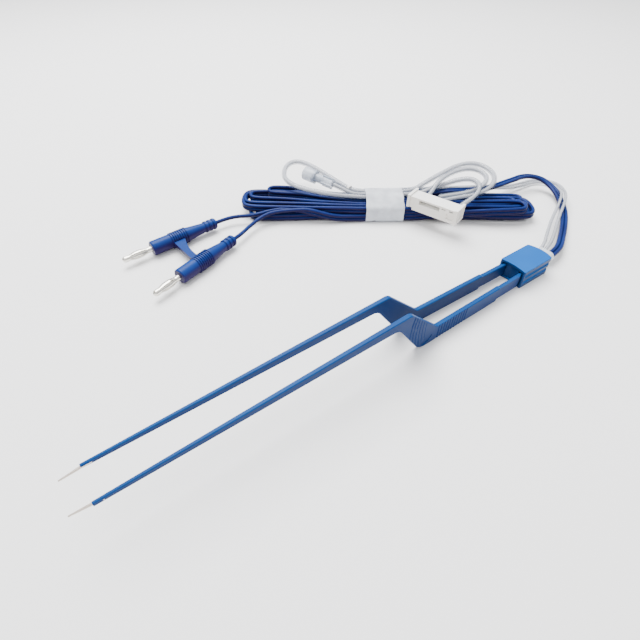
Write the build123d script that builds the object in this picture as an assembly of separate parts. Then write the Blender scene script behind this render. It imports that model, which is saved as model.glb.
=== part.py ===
from build123d import *
import math
import os

os.makedirs("parts", exist_ok=True)

# A disposable irrigating bayonet forceps for bipolar coagulation, with its cord and tubing packed
# beside it. Lengths are millimetres. X runs along the forceps from the tips to the cord, Y spreads
# the two arms, Z is up from the table. The origin is under the middle of the forceps.

# Forceps, driving dimensions
overall_length = 216.0
housing_length = 22.0
housing_width = 13.6
housing_height = 9.2
housing_wall = 1.2
housing_floor = 0.6
housing_rear_wall = 2.2
front_hollow = 1.0
rear_crown = 1.6
side_groove_radius = 1.0
side_groove_depth = 0.7
side_groove_pitch = 3.4
housing_edge_round = 0.5

# Arms, seen from the side
handle_height = 7.7
heel_to_housing = 65.3
heel_round = 6.5
inner_corner_round = 3.0
riser_foot_round = 5.0
bend_round = 3.5
inner_corner_back = 9.1
bend_height = 23.7
bend_back = 8.1
riser_back = 13.7
shaft_height = 4.6
tip_height = 17.5
bare_tip_length = 6.3
jacket_end_height = 1.6
jacket_end_rise = 0.5
spring_strip_length = 16.2
spring_strip_height = 6.3
spring_strip_lift = 0.9
tang_depth = 14.0
tang_clearance = 0.35

# Arms, seen from above
inner_gap_at_housing = 3.7
inner_gap_at_bend = 4.95
inner_gap_at_jacket_end = 5.9
tip_gap = 5.8
arm_thickness = 2.2
spring_strip_thickness = 1.3
strip_root_thickness = 1.9
strip_root_gap = 1.0
jacket_end_thickness = 1.1
arm_edge_bevel = 0.3

# Steel blade inside each jacket
blade_thickness = 0.7
blade_skin = 0.75
blade_end_height = 0.8
tip_base_radius = 0.6
tip_end_radius = 0.25
tab_drop = 0.6
terminal_tab_height = 2.6
terminal_tab_reach = 1.5
terminal_radius = 1.1
terminal_bore_radius = 0.8
terminal_length = 3.0
barb_radius = 0.5
barb_bore_radius = 0.3
barb_seat = 3.0
barb_reach = 3.0
barb_below_top = 0.85

# Grip texture of each jacket
rib_pitch = 1.7
rib_depth = 0.28
rib_groove_radius = 0.65
handle_ribs = 11
riser_ribs = 6
riser_rib_bow = 1.6
thumb_mark_length = 6.4
thumb_mark_width = 3.0
thumb_mark_depth = 0.22
outlet_radius = 0.35
outlet_depth = 0.4
outlet_from_end = 1.6

# Rear exit
sleeve_width = 9.2
sleeve_height = 4.6
sleeve_reach = 5.0
sleeve_side_shift = -0.3
sleeve_seat = 0.6
inner_wire_clearance = 0.3

# Cord and tubing
cord_diameter = 4.0
wire_diameter = 2.1
thin_tube_diameter = 1.8
main_tube_diameter = 3.0
table_lift = 0.3

# Hank of cord, laid at an angle beside the forceps
hank_x = 77.0
hank_y = 80.3
hank_turn = -35.1
hank_layer = 4.1
hank_ridge = 2.2
hank_end_round = 2.5
bundle_height = 3.1
bundle_front = -0.6
bundle_back = 8.9
band_width = 21.0
band_front = -9.6
band_back = 10.5
band_height = 12.0
band_thickness = 0.3

# Plugs
plug_cable_radius = 2.55
plug_ring_radius = 3.05
plug_strain_length = 7.0
plug_taper_length = 10.0
plug_grip_length = 9.6
plug_grip_radius = 4.15
plug_grip_core = 3.65
plug_grip_rings = 8
plug_sleeve_length = 10.2
plug_sleeve_radius = 3.75
plug_pin_length = 15.2
plug_pin_radius = 1.5
plug_neck_radius = 1.05
plug_spring_radius = 2.0
plug_spring_flat = 3.0
plug_spring_wall = 0.3
plug_leaves = 6
plug_leaf_slot = 0.35
web_thickness = 2.0

# Pump cassette and connector
cassette_length = 29.0
cassette_width = 9.6
cassette_height = 8.4
cassette_flange = 1.4
cassette_flange_step = 0.8
cassette_cover = 0.9
cassette_channel_height = 2.4
cassette_channel_wall = 2.6
cassette_channel_length = 12.0
cassette_channel_shift = -1.8
cassette_slot_length = 2.2
cassette_slot_height = 0.8
cassette_slot_depth = 1.6
cassette_slot_spacing = 4.4
cassette_panel_length = 4.6
cassette_panel_height = 3.4
cassette_panel_depth = 0.5
cassette_end_frame = 0.9
cassette_end_recess = 0.6
cassette_foot_length = 3.0
cassette_foot_step = 1.4
cassette_port_radius = 2.0
cassette_port_spacing = 18.0
pump_segment_diameter = 2.2
cassette_turn = -38.0
pump_tube_height = 1.8
connector_length = 13.0
connector_radius = 2.5
connector_cap_length = 8.0
connector_cap_radius = 3.8
connector_flange_step = 0.6
connector_flange_length = 2.0
cap_clearance = 0.1
collar_radius = 2.1
collar_length = 1.4
collar_place = 9.5

# Places that follow from the dimensions above
rear_x = overall_length / 2
tip_x = -rear_x
mouth_x = rear_x - housing_length
heel_x = mouth_x - heel_to_housing
riser_foot_x = heel_x - riser_back
bend_x = heel_x - bend_back
inner_corner_x = heel_x + inner_corner_back
jacket_end_x = tip_x + bare_tip_length
strip_x = mouth_x - spring_strip_length
tang_end_x = mouth_x + tang_depth
cavity_end_x = rear_x - housing_rear_wall
jacket_end_z = tip_height + jacket_end_rise
exit_z = housing_height / 2 + 0.3
sleeve_end_x = rear_x + sleeve_reach
blade_centre = spring_strip_thickness / 2
strip_top = spring_strip_lift + spring_strip_height
tab_z = spring_strip_lift + spring_strip_height / 2 - tab_drop
barb_z = strip_top - barb_below_top


def box_between(low, high):
    size = [high[i] - low[i] for i in range(3)]
    middle = [(high[i] + low[i]) / 2 for i in range(3)]
    return Pos(*middle) * Box(*size)


def side_plate(outline, low_y, high_y):
    """A plate whose outline is drawn in X and Z, between two distances to the side."""
    plane = Plane(origin=(0, low_y, 0), x_dir=(1, 0, 0), z_dir=(0, -1, 0))
    return extrude(plane * outline, -(high_y - low_y))


def save(part, name):
    part.label = name
    export_step(part, f"parts/{name}.step")


# Arms

def inner_face(x):
    """How far the inner face of the right arm stands from the middle plane."""
    if x > bend_x:
        share = (mouth_x - x) / (mouth_x - bend_x)
        return inner_gap_at_housing + share * (inner_gap_at_bend - inner_gap_at_housing)
    share = (bend_x - x) / (bend_x - jacket_end_x)
    return inner_gap_at_bend + share * (inner_gap_at_jacket_end - inner_gap_at_bend)


def arm_outline(end_height):
    """Side view of one arm: slim shaft, slanted riser down to the heel, handle and spring strip."""
    points = [
        (jacket_end_x, jacket_end_z - end_height / 2),
        (riser_foot_x, bend_height - shaft_height),
        (heel_x, 0),
        (strip_x - spring_strip_lift, 0),
        (strip_x, spring_strip_lift),
        (tang_end_x, spring_strip_lift),
        (tang_end_x, strip_top),
        (strip_x + 1, strip_top),
        (strip_x, handle_height),
        (inner_corner_x, handle_height),
        (bend_x, bend_height),
        (jacket_end_x, jacket_end_z + end_height / 2),
    ]
    face = make_face(Polyline(*points, close=True))
    rounds = {1: riser_foot_round, 2: heel_round, 9: inner_corner_round, 10: bend_round}
    for index, radius in rounds.items():
        corner = face.vertices().sort_by_distance(Vector(*points[index]))[0]
        face = fillet(corner, radius)
    return face


def arm_plan(inner_skin, thickness_cut):
    """Top view of one arm, thinner towards the tip, in the spring strip and again in the housing."""
    thick = arm_thickness - thickness_cut
    root = strip_root_thickness - thickness_cut
    strip = spring_strip_thickness - thickness_cut
    end = jacket_end_thickness - thickness_cut
    root_x = mouth_x - strip_root_gap
    inner = [(x, inner_face(x) + inner_skin) for x in (jacket_end_x, bend_x, tang_end_x)]
    outer = [
        (tang_end_x, inner_face(tang_end_x) + inner_skin + strip),
        (root_x + root - strip, inner_face(root_x) + inner_skin + strip),
        (root_x, inner_face(root_x) + inner_skin + root),
        (strip_x + 2 * (thick - root), inner_face(strip_x) + inner_skin + root),
        (strip_x, inner_face(strip_x) + inner_skin + thick),
        (bend_x, inner_face(bend_x) + inner_skin + thick),
        (jacket_end_x, inner_face(jacket_end_x) + inner_skin + end),
    ]
    return make_face(Polyline(*inner, *outer, close=True))


def blade():
    """Stamped steel blade with a turned tip at the front and a solder tab at the back."""
    inner_skin = (spring_strip_thickness - blade_thickness) / 2
    tall = blade_end_height + 2 * blade_skin
    side = offset(arm_outline(tall), amount=-blade_skin, kind=Kind.INTERSECTION)
    sheet = side_plate(side, 0, 12)
    points = [(jacket_end_x, inner_face(jacket_end_x) + inner_skin)]
    points += [(bend_x, inner_face(bend_x) + inner_skin)]
    points += [(tang_end_x, inner_face(tang_end_x) + inner_skin)]
    back = [(x, y + blade_thickness) for x, y in reversed(points)]
    sheet &= extrude(make_face(Polyline(*points, *back, close=True)), 40)
    tab_y = inner_face(tang_end_x) + inner_skin
    tab = box_between(
        (tang_end_x - blade_skin - 0.5, tab_y, tab_z - terminal_tab_height / 2),
        (tang_end_x + terminal_tab_reach, tab_y + blade_thickness, tab_z + terminal_tab_height / 2),
    )
    start = Vector(jacket_end_x + 3, inner_face(jacket_end_x) + jacket_end_thickness / 2, jacket_end_z)
    end = Vector(tip_x + tip_end_radius, tip_gap, tip_height)
    along = end - start
    plane = Plane(origin=start, z_dir=along)
    tip = plane * Pos(0, 0, along.length / 2) * Cone(tip_base_radius, tip_end_radius, along.length)
    return sheet + tab + tip + Pos(*end) * Sphere(tip_end_radius)


def grip_grooves():
    """Grooves across the outer face: straight ones on the handle, bowed ones on the riser."""
    grooves = []
    stand_off = rib_groove_radius - rib_depth
    for index in range(handle_ribs):
        x = inner_corner_x + 1.0 + index * rib_pitch
        y = inner_face(x) + arm_thickness + stand_off
        grooves.append(Pos(x, y, handle_height / 2) * Cylinder(rib_groove_radius, handle_height + 4))
    for index in range(riser_ribs):
        x = bend_x + 0.6 + index * rib_pitch
        y = inner_face(bend_x) + arm_thickness + stand_off
        low, high = (x + riser_rib_bow, y, 1.0), (x + riser_rib_bow, y, bend_height)
        arc = ThreePointArc(low, (x, y, bend_height / 2), high)
        grooves.append(sweep(Plane(origin=arc @ 0, z_dir=arc % 0) * Circle(rib_groove_radius), arc))
    return grooves


def jacket(steel, barb):
    """Moulded blue insulation over the blade, with the grip ribs, thumb mark and outlet hole."""
    body = side_plate(arm_outline(jacket_end_height), 0, 12) & extrude(arm_plan(0, 0), 40)
    long_edges = body.edges().filter_by(lambda edge: edge.length > 2 * handle_height)
    body = chamfer(long_edges, arm_edge_bevel)
    for groove in grip_grooves():
        body -= groove
    mark_x = heel_x + 3.6
    mark_y = inner_face(mark_x) + arm_thickness
    mark = Ellipse(thumb_mark_length / 2, thumb_mark_width / 2)
    mark_plane = Plane(origin=(mark_x, mark_y, 3.4), x_dir=(0.85, 0, 0.5), z_dir=(0, 1, 0))
    body -= extrude(mark_plane * mark, thumb_mark_depth, both=True)
    outlet_x = jacket_end_x + outlet_from_end
    outlet = Pos(outlet_x, inner_face(outlet_x), jacket_end_z) * Rot(90, 0, 0)
    body -= outlet * Cylinder(outlet_radius, 2 * outlet_depth)
    return body - steel - barb


def terminal():
    """Crimp barrel at the end of the blade's tab."""
    tube = Cylinder(terminal_radius, terminal_length) - Cylinder(terminal_bore_radius, terminal_length)
    slot = Box(terminal_tab_height, blade_thickness, terminal_length)
    tube -= Pos(0, 0, terminal_tab_reach - terminal_length) * slot
    return Pos(tang_end_x + terminal_length / 2, tang_y, tab_z) * Rot(0, 90, 0) * tube


def irrigation_barb():
    """Thin steel inlet tube moulded into the tang above the blade's tab."""
    length = barb_seat + barb_reach
    tube = Cylinder(barb_radius, length) - Cylinder(barb_bore_radius, length)
    return Pos(tang_end_x - barb_seat + length / 2, tang_y, barb_z) * Rot(0, 90, 0) * tube


tang_y = inner_face(tang_end_x) + blade_centre
barb_hole = Pos(tang_end_x, tang_y, barb_z) * Rot(0, 90, 0) * Cylinder(barb_radius, 2 * barb_seat)
right_blade = blade() - barb_hole
right_barb = irrigation_barb()
right_jacket = jacket(right_blade, barb_hole)
right_terminal = terminal()
arm_parts = {
    "blade": right_blade,
    "jacket": right_jacket,
    "terminal": right_terminal,
    "irrigation_barb": right_barb,
}
for piece, shape in arm_parts.items():
    save(shape, f"right_{piece}")
    save(mirror(shape, about=Plane.XZ), f"left_{piece}")

# Rear housing and what it holds

def housing_outline(inset):
    """Top view of the housing: hollow at the front edge, crowned at the rear edge."""
    half = housing_width / 2 - inset
    front, rear = mouth_x + inset, rear_x - rear_crown - inset
    edges = [
        ThreePointArc((front, -half), (front + front_hollow, 0), (front, half)),
        Line((front, half), (rear, half)),
        ThreePointArc((rear, half), (rear + rear_crown, 0), (rear, -half)),
        Line((rear, -half), (front, -half)),
    ]
    return make_face(edges)


def rear_housing():
    """Moulded cover with an open mouth for the arms, ridged sides and an oval way out at the back."""
    shell = extrude(housing_outline(0), housing_height)
    shell = chamfer(shell.edges().filter_by(Axis.Z), housing_edge_round)
    shell = fillet(shell.faces().sort_by(Axis.Z)[-1].edges(), housing_edge_round / 2)
    groove_y = housing_width / 2 + side_groove_radius - side_groove_depth
    for level in (-0.5, 0.5):
        for side in (-1, 1):
            z = housing_height / 2 + level * side_groove_pitch
            groove = Rot(0, 90, 0) * Cylinder(side_groove_radius, housing_length)
            shell -= Pos(mouth_x + housing_length / 2 + housing_wall, side * groove_y, z) * groove
    half = housing_width / 2 - housing_wall
    cavity_top = housing_height - housing_wall
    shell -= box_between((mouth_x - 1, -half, housing_floor), (cavity_end_x, half, cavity_top))
    way_out = Plane(origin=(cavity_end_x - 1, sleeve_side_shift, exit_z), x_dir=(0, 1, 0), z_dir=(1, 0, 0))
    shell -= extrude(way_out * SlotOverall(sleeve_width, sleeve_height), housing_rear_wall + 2)
    return shell


def arm_spacer():
    """Core that keeps the two tangs apart, with a hollow front edge like the cover's."""
    front = mouth_x + front_hollow
    half_front = inner_face(front) - tang_clearance
    half_rear = inner_face(tang_end_x) - tang_clearance
    edges = [
        ThreePointArc((front, -half_front), (front + front_hollow, 0), (front, half_front)),
        Line((front, half_front), (tang_end_x, half_rear)),
        Line((tang_end_x, half_rear), (tang_end_x, -half_rear)),
        Line((tang_end_x, -half_rear), (front, -half_front)),
    ]
    height = housing_height - housing_wall - housing_floor
    return Pos(0, 0, housing_floor) * extrude(make_face(edges), height)


def exit_sleeve():
    """Clear oval sleeve in the back wall, potted round the cord and the two tubes."""
    start = cavity_end_x - sleeve_seat
    plane = Plane(origin=(start, sleeve_side_shift, exit_z), x_dir=(0, 1, 0), z_dir=(1, 0, 0))
    return extrude(plane * SlotOverall(sleeve_width, sleeve_height), sleeve_end_x - start)


def straight_tube(start, end, diameter):
    along = Vector(*end) - Vector(*start)
    return extrude(Plane(origin=start, z_dir=along) * Circle(diameter / 2), along.length)


def cord_path(points):
    """Straight runs joined by arcs, each as large as its two runs allow."""
    places = [Vector(*point) for point in points]
    radii = []
    for before, corner, after in zip(places, places[1:], places[2:]):
        run_in, run_out = corner - before, after - corner
        turn = math.radians(run_in.get_angle(run_out))
        radii.append(0.45 * min(run_in.length, run_out.length) / math.tan(turn / 2))
    print(f"  least radius {min(radii):.1f}")
    return FilletPolyline(*places, radius=radii)


def cord_tube(points, diameter):
    path = cord_path(points)
    tube = sweep(Plane(origin=path @ 0, z_dir=path % 0) * Circle(diameter / 2), path)
    expected = math.pi * diameter ** 2 / 4 * path.length
    print(f"  diameter {diameter}, length {path.length:.1f}, volume ratio {tube.volume / expected:.4f}")
    return tube


hank_place = Pos(hank_x, hank_y, 0) * Rot(0, 0, hank_turn)


def beside(points):
    """Points measured along, across and above the hank, as places in the part's own axes."""
    return [tuple((hank_place * Pos(*point)).position) for point in points]


cord_exit = (sleeve_end_x, -2.4, exit_z)
tube_exits = {"left": (sleeve_end_x, 1.1, exit_z), "right": (sleeve_end_x, 3.1, exit_z)}

save(rear_housing(), "rear_housing")
save(arm_spacer(), "arm_spacer")
save(exit_sleeve(), "exit_sleeve")

for side, sign in (("right", 1), ("left", -1)):
    wire_start = (tang_end_x + terminal_length + inner_wire_clearance, sign * tang_y, tab_z)
    wire_end = (cavity_end_x - sleeve_seat, sign * tang_y, tab_z)
    save(straight_tube(wire_start, wire_end, 2 * terminal_radius), f"{side}_inner_wire")

# Power cord: lead, hank, tail and the two plug wires

lead_points = [
    cord_exit,
    (122.0, -2.4, exit_z),
    (133.0, 1.0, 3.6),
    (147.0, 9.0, 2.5),
    (161.0, 18.5, 2.4),
    (173.0, 28.5, 2.6),
    (180.5, 37.5, 4.2),
    (183.5, 47.0, 6.4),
    (179.5, 55.8, 8.6),
    (170.0, 59.5, 9.8),
]
lead_landing = beside([
    (82.0, 27.5, 10.6),
    (71.0, 20.0, 10.8),
    (60.5, 12.5, 10.8),
    (50.0, 8.2, 10.6),
    (40.0, 8.0, 10.6),
])
tail_points = beside([
    (-10.5, -7.5, 6.5),
    (-20.0, -7.5, 6.5),
    (-33.0, -8.0, 6.5),
    (-46.0, -7.5, 6.5),
    (-58.0, -8.0, 6.5),
    (-67.0, -8.0, 6.5),
])
first_wire_points = beside([
    (-67.0, -6.95, 6.5),
    (-72.0, -6.95, 6.5),
    (-78.0, -7.2, 6.2),
    (-84.0, -8.9, 5.2),
    (-88.6, -12.3, 4.2),
    (-93.3, -16.3, 4.2),
])
second_wire_points = beside([
    (-67.0, -9.05, 6.5),
    (-71.5, -9.4, 6.4),
    (-75.2, -13.2, 5.2),
    (-77.2, -19.4, 4.2),
    (-78.0, -27.4, 4.2),
    (-81.3, -32.2, 4.2),
])

# Two thin tubes from the forceps to the hank, one beside the other

left_lead_points = [
    tube_exits["left"],
    (123.5, 1.1, exit_z),
    (134.6, 6.3, 4.4),
    (146.6, 13.1, 3.8),
    (157.5, 20.6, 4.6),
    (168.0, 27.4, 7.0),
    (178.6, 33.0, 7.7),
    (188.0, 39.9, 6.4),
    (192.6, 49.0, 3.4),
    (189.0, 58.6, 1.5),
    (179.0, 62.5, 1.2),
]
left_lead_landing = beside([
    (89.5, 35.6, 1.3),
    (80.5, 27.4, 2.6),
    (71.5, 21.4, 5.4),
    (61.5, 17.4, 8.4),
    (51.0, 13.6, 9.7),
    (40.0, 13.3, 9.6),
])
right_lead_points = [
    tube_exits["right"],
    (121.5, 3.1, exit_z),
    (133.6, 8.1, 4.4),
    (145.4, 14.9, 3.8),
    (156.3, 22.4, 4.6),
    (167.0, 29.3, 7.0),
    (177.4, 34.7, 7.7),
    (186.4, 41.2, 6.4),
    (190.6, 49.0, 3.4),
    (187.6, 57.0, 1.5),
    (179.1, 60.4, 1.2),
]
right_lead_landing = beside([
    (91.1, 34.4, 1.3),
    (81.7, 25.8, 2.6),
    (72.4, 19.6, 5.4),
    (62.2, 15.5, 8.4),
    (51.4, 11.6, 9.7),
    (40.0, 11.3, 9.6),
])

# Loops of the wider tubing over the hank

left_loop_points = beside([
    (-10.5, 7.3, 10.2),
    (-17.0, 7.3, 10.4),
    (-24.0, 12.4, 12.0),
    (-31.5, 20.0, 13.4),
    (-39.0, 28.0, 14.0),
    (-46.0, 33.0, 14.0),
    (-52.6, 34.3, 13.9),
    (-58.0, 31.6, 13.7),
    (-60.0, 25.6, 13.4),
    (-57.6, 19.2, 13.1),
    (-51.6, 13.0, 12.8),
    (-44.0, 7.6, 12.2),
    (-33.5, 3.6, 11.3),
    (-22.0, 1.3, 10.5),
    (-10.5, 1.0, 10.2),
])
outer_loop_points = beside([
    (10.5, 7.3, 10.2),
    (17.0, 7.5, 10.6),
    (25.0, 12.4, 13.2),
    (35.0, 18.6, 15.6),
    (44.5, 25.4, 16.8),
    (52.5, 28.8, 17.0),
    (60.0, 27.2, 16.7),
    (64.4, 20.8, 16.0),
    (64.6, 12.8, 15.4),
    (61.0, 5.6, 14.6),
    (54.8, 1.2, 13.0),
    (47.4, 0.2, 11.3),
    (40.0, 0.2, 10.3),
])
pump_return_points = beside([
    (21.36, -4.18, 10.3),
    (26.0, 1.75, 12.0),
    (31.0, 8.2, 16.2),
    (38.2, 15.2, 17.0),
    (46.0, 20.6, 16.9),
    (52.6, 22.4, 16.7),
    (58.0, 20.2, 16.2),
    (60.2, 14.8, 15.6),
    (58.4, 9.0, 14.8),
    (53.6, 5.0, 13.2),
    (47.0, 3.6, 11.4),
    (40.0, 3.6, 10.3),
])
pump_feed_points = beside([
    (10.5, 4.2, 10.2),
    (19.0, 4.3, 10.3),
    (27.5, 7.4, 12.0),
    (35.5, 10.6, 13.0),
    (43.0, 11.4, 15.2),
    (49.4, 8.8, 17.2),
    (52.2, 2.6, 17.6),
    (50.8, -3.8, 16.2),
    (46.0, -7.6, 13.6),
    (40.4, -9.8, 11.2),
    (35.55, -15.26, 10.3),
])
branch_points = beside([
    (-10.5, 4.15, 10.2),
    (-15.5, 4.15, 10.2),
    (-20.0, 5.0, 11.2),
    (-24.6, 7.6, 12.6),
    (-29.0, 10.2, 13.2),
])
cords = {
    "power_cord_lead": (lead_points + lead_landing, cord_diameter),
    "power_cord_tail": (tail_points, cord_diameter),
    "first_plug_wire": (first_wire_points, wire_diameter),
    "second_plug_wire": (second_wire_points, wire_diameter),
    "left_irrigation_lead": (left_lead_points + left_lead_landing, thin_tube_diameter),
    "right_irrigation_lead": (right_lead_points + right_lead_landing, thin_tube_diameter),
    "irrigation_left_loop": (left_loop_points, main_tube_diameter),
    "irrigation_outer_loop": (outer_loop_points, main_tube_diameter),
    "pump_return_tube": (pump_return_points, main_tube_diameter),
    "pump_feed_tube": (pump_feed_points, main_tube_diameter),
    "connector_branch": (branch_points, main_tube_diameter),
}
for name, (points, diameter) in cords.items():
    print(name)
    save(cord_tube(points, diameter), name)

# Hank, tubing bundle and paper band

def hank():
    """Outer shape of the wound cord: a wide lower layer, an upper layer and the last strand on top."""
    lower = [
        (-74, -9.6), (-10, -9.2), (12, -9.2), (34, -12), (76, -14.5), (84, -9),
        (84, 4), (72, 9.8), (10, 9.8), (-40, 9.8), (-68, 12), (-80, 6), (-81, -4),
    ]
    upper = [
        (-62, -5.2), (-10.5, -5.2), (-10.5, -9.2), (12, -9.2), (34, -11), (72, -12.5), (80, -8),
        (82, 4), (72, 9.8), (52, 10), (44, 14.4), (28, 14.4), (10, 9.8), (-34, 9.8), (-64, 14.5),
        (-80, 12), (-83, 4), (-78, -3),
    ]
    sharp = {(-10.5, -5.2), (-10.5, -9.2)}
    layers = []
    for outline in (lower, upper):
        face = make_face(Polyline(*outline, close=True))
        corners = [place for place in face.vertices() if (round(place.X, 1), round(place.Y, 1)) not in sharp]
        face = fillet(corners, hank_end_round)
        layers.append(extrude(face, hank_layer))
    solid = Pos(0, 0, table_lift) * layers[0] + Pos(0, 0, table_lift + hank_layer) * layers[1]
    top = table_lift + 2 * hank_layer
    solid += box_between((30, -1.6, top), (40, 14.3, top + hank_ridge))
    return hank_place * solid


def band_section(inset):
    """Cross-section of the hank where the band holds it, with rounded corners."""
    corners = [
        (band_front + inset, inset),
        (band_back - inset, inset),
        (band_back - inset, band_height - 3.1 - inset / 2),
        (band_back - 1.2 - inset / 2, band_height - inset),
        (band_front + 8.0 + inset / 2, band_height - inset),
        (band_front + inset, band_height - 3.1 - inset / 2),
    ]
    return make_face(Polyline(*corners, close=True))


def paper_band():
    plane = Plane(origin=(-band_width / 2, 0, 0), x_dir=(0, 1, 0), z_dir=(1, 0, 0))
    ring = band_section(0) - band_section(band_thickness)
    return hank_place * extrude(plane * ring, band_width)


def irrigation_bundle():
    """The strands of tubing that the band hides, as one solid on top of the hank."""
    floor = table_lift + 2 * hank_layer
    low, high = (-band_width / 2, bundle_front, floor), (band_width / 2, bundle_back, floor + bundle_height)
    return hank_place * box_between(low, high)


save(hank(), "power_cord_hank")
save(irrigation_bundle(), "irrigation_bundle")
save(paper_band(), "paper_band")

# Plugs

plug_face = plug_strain_length + plug_taper_length + plug_grip_length + plug_sleeve_length
plug_end = plug_face + plug_pin_length


def plug_body():
    """Moulded grip of one plug, turned about X: strain relief rings, taper, ringed grip, sleeve."""
    profile = [(0, 0), (0, plug_cable_radius)]
    ring = plug_strain_length / 6
    for index in range(3):
        start = ring * (2 * index + 0.6)
        profile += [(start, plug_cable_radius), (start, plug_ring_radius)]
        profile += [(start + ring, plug_ring_radius), (start + ring, plug_cable_radius)]
    grip_start = plug_strain_length + plug_taper_length
    profile += [(plug_strain_length, plug_cable_radius), (grip_start, plug_grip_core)]
    step = plug_grip_length / plug_grip_rings
    for index in range(plug_grip_rings):
        start = grip_start + index * step
        profile += [(start + 0.2 * step, plug_grip_core), (start + 0.35 * step, plug_grip_radius)]
        profile += [(start + 0.75 * step, plug_grip_radius), (start + 0.9 * step, plug_grip_core)]
    sleeve_start = grip_start + plug_grip_length
    sleeve_end = sleeve_start + plug_sleeve_length
    profile += [(sleeve_start + 0.6, plug_grip_core), (sleeve_start + 0.6, plug_sleeve_radius)]
    profile += [(sleeve_end - 0.5, plug_sleeve_radius), (sleeve_end, plug_sleeve_radius - 0.5)]
    profile += [(sleeve_end, 0)]
    return revolve(make_face(Polyline(*profile, close=True)), Axis.X)


def pin_core():
    """Turned pin: seat inside the grip, shoulder, neck for the spring and a slotted round nose."""
    seat_start = plug_face - 8.0
    neck_start = plug_face + 1.6
    nose = plug_end - 2.6
    line = Polyline(
        (plug_end - 1.2, plug_pin_radius), (nose, plug_pin_radius), (nose, plug_neck_radius),
        (neck_start, plug_neck_radius), (neck_start, plug_pin_radius), (seat_start, plug_pin_radius),
        (seat_start, 0), (plug_end, 0),
    )
    nose_round = ThreePointArc((plug_end, 0), (plug_end - 0.35, 1.06), (plug_end - 1.2, plug_pin_radius))
    pin = revolve(make_face([line, nose_round]), Axis.X)
    return pin - Pos(plug_end, 0, 0) * Box(2.0, 0.5, 2 * plug_spring_radius)


def leaf_spring():
    """Lantern spring round the neck: two collars joined by leaves that bulge to the socket's size."""
    start = plug_face + 1.6
    end = plug_end - 2.6
    middle = (start + end) / 2
    outer, wall = plug_spring_radius, plug_spring_wall
    low = plug_neck_radius + wall
    flat = plug_spring_flat / 2
    collar = 1.0
    profile = [
        (start, low), (start + collar, low), (middle - flat, outer), (middle + flat, outer),
        (end - collar, low), (end, low), (end, low - wall), (end - collar, low - wall),
        (middle + flat, outer - wall), (middle - flat, outer - wall), (start + collar, low - wall),
        (start, low - wall),
    ]
    cage = revolve(make_face(Polyline(*profile, close=True)), Axis.X)
    for index in range(plug_leaves):
        slot = Box(end - start - 2 * collar, plug_leaf_slot, 2 * outer)
        turn = Rot(360 * (index + 0.5) / plug_leaves, 0, 0)
        cage -= turn * Pos(middle, 0, outer) * slot
    return cage


def plug_place(wire_points):
    """A plug carries on from its wire, in the direction of the wire's last run."""
    end, before = Vector(*wire_points[-1]), Vector(*wire_points[-2])
    return Plane(origin=end, x_dir=end - before, z_dir=(0, 0, 1)).location


first_place = plug_place(first_wire_points)
second_place = plug_place(second_wire_points)
pin_hole = Pos(plug_face - 4.0, 0, 0) * Rot(0, 90, 0) * Cylinder(plug_pin_radius, 8.0)
drilled_body = plug_body() - pin_hole


def web_corner(place, along):
    return (place * Pos(along, 0, 0)).position


def plug_moulding():
    """Both grips and the flat web that joins them, in one moulding."""
    level = first_place.position.Z
    corners = [
        web_corner(first_place, plug_strain_length + plug_taper_length + 1.0),
        web_corner(first_place, plug_strain_length + plug_taper_length + plug_grip_length - 0.5),
        web_corner(second_place, plug_strain_length + plug_taper_length + plug_grip_length - 1.0),
        web_corner(second_place, plug_strain_length + plug_taper_length + plug_grip_length - 5.5),
    ]
    flat = [(corner.X, corner.Y) for corner in corners]
    middle = ((flat[0][0] + flat[3][0]) / 2 - 2.5, (flat[0][1] + flat[3][1]) / 2)
    edges = [Polyline(*flat), ThreePointArc(flat[3], middle, flat[0])]
    web = Pos(0, 0, level - web_thickness / 2) * extrude(make_face(edges), web_thickness)
    for place in (first_place, second_place):
        web -= place * Pos(plug_face / 2, 0, 0) * Rot(0, 90, 0) * Cylinder(plug_pin_radius + 1.0, plug_face)
    return web + first_place * drilled_body + second_place * drilled_body


save(plug_moulding(), "plug_moulding")
for name, place in (("first", first_place), ("second", second_place)):
    save(place * pin_core(), f"{name}_plug_pin")
    save(place * leaf_spring(), f"{name}_plug_spring")
    nose = place * Pos((plug_face + plug_end) / 2 - 0.5, 0, 0)
    print(name, "plug spring centre", tuple(nose.position), "axis", tuple(Plane(place).x_dir))

# Pump cassette and the capped connector

cassette_place = hank_place * Pos(25.5, -13.5, table_lift + 2 * hank_layer) * Rot(0, 0, cassette_turn)


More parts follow.
